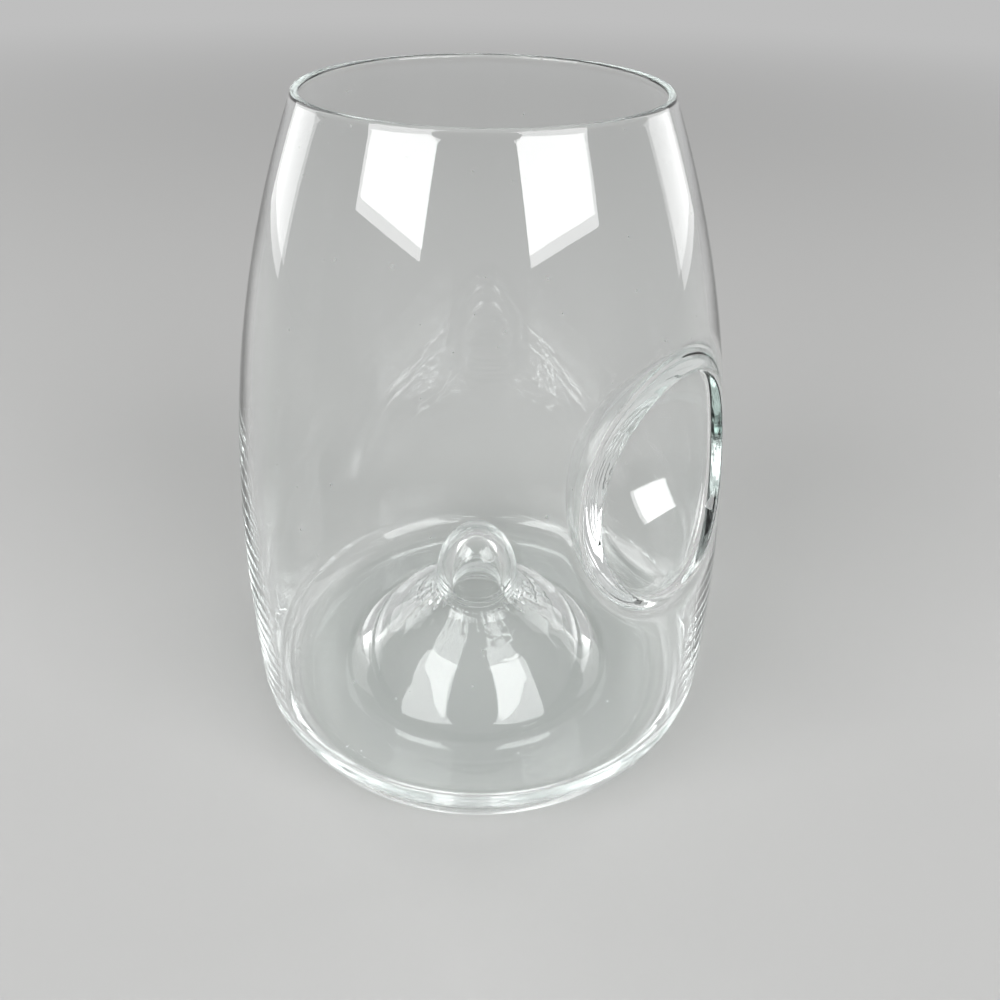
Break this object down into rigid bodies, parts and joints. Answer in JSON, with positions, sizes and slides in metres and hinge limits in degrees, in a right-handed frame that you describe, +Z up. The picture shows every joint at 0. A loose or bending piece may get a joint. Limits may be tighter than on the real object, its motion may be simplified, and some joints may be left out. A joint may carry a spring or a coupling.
{
  "type": "stemless wine glass",
  "caption": "Clear stemless wine glass with an in-drawn rim, a thumb dimple pressed into one side and a bell-shaped punt with a round nub inside.",
  "frame": {"origin": "centre of the foot, on the surface that the glass stands on", "axes": "+Z up the glass's axis to the rim, the thumb dimple is turned 50.4 degrees from -Y towards +X"},
  "size_m": [0.092, 0.092, 0.12],
  "materials": {
    "clear_glass": "polished, clear, with a faint grey-green cast where it is thick"
  },
  "bodies": {
    "root": {"rim_lip": "clear_glass", "bowl_wall": "clear_glass", "thumb_rest": "clear_glass", "heel": "clear_glass", "foot_ring": "clear_glass", "punt_bell": "clear_glass", "punt_nub": "clear_glass"}
  },
  "joints": []
}
